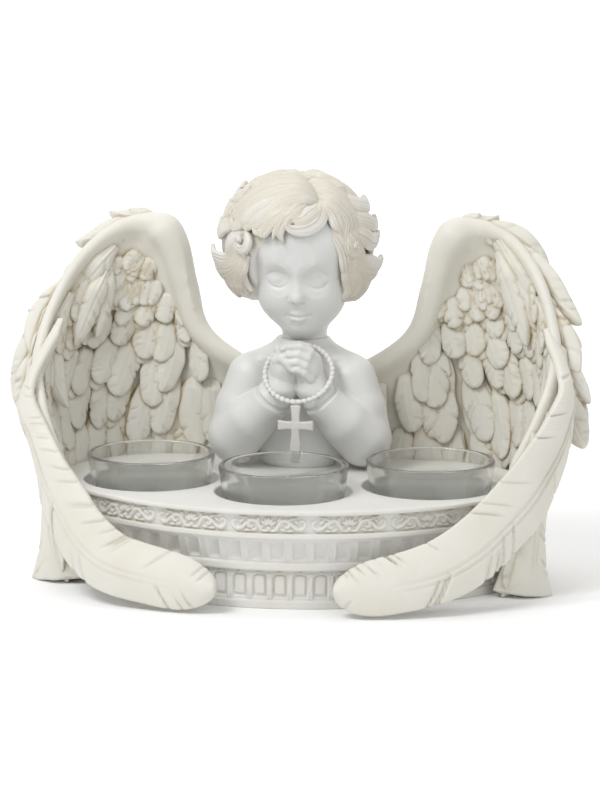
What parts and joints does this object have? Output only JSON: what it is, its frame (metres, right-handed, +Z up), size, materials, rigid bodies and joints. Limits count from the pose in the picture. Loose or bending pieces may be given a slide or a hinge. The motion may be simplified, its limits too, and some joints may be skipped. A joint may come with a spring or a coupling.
{
  "type": "praying cherub tealight holder figurine",
  "caption": "Bust of a praying cherub whose wings wrap round an altar shelf that holds lift-out glass tealight cups.",
  "frame": {"origin": "on the resting plane, on the mirror plane of the base, under the rear of the middle glass cup", "axes": "+Z up, +X towards the viewer's right when facing the cherub, -Y towards the viewer"},
  "size_m": [0.248, 0.1395, 0.1729],
  "materials": {
    "altar_resin": "cast resin, painted off-white, satin",
    "skin_resin": "cast resin, painted white, smooth satin",
    "wing_resin": "cast resin, painted warm white with an ochre wash in the recesses",
    "bead_resin": "cast resin, painted ivory, satin",
    "cup_glass": "clear pressed glass, fire polished",
    "dowel_steel": "cut steel rod"
  },
  "bodies": {
    "casting": {"altar_base": "altar_resin", "torso": "skin_resin", "praying_hands": "skin_resin", "head": "skin_resin", "wing_left": "wing_resin", "wing_right": "wing_resin", "plume_left": "wing_resin", "plume_right": "wing_resin", "rosary_strand": "bead_resin", "cross": "bead_resin", "base_dowel": "dowel_steel", "neck_dowel": "dowel_steel", "wrist_dowels": "dowel_steel", "wing_dowels": "dowel_steel", "plume_dowels": "dowel_steel"},
    "cup_left": {"glass_cup_left": "cup_glass"},
    "cup_centre": {"glass_cup_centre": "cup_glass"},
    "cup_right": {"glass_cup_right": "cup_glass"}
  },
  "joints": [
    {"name": "cup_left_lift", "type": "slide", "parent": "casting", "child": "cup_left", "axis": [0, 0, 1], "range_m": [0, 0.045]},
    {"name": "cup_centre_lift", "type": "slide", "parent": "casting", "child": "cup_centre", "axis": [0, 0, 1], "range_m": [0, 0.045]},
    {"name": "cup_right_lift", "type": "slide", "parent": "casting", "child": "cup_right", "axis": [0, 0, 1], "range_m": [0, 0.045]}
  ]
}
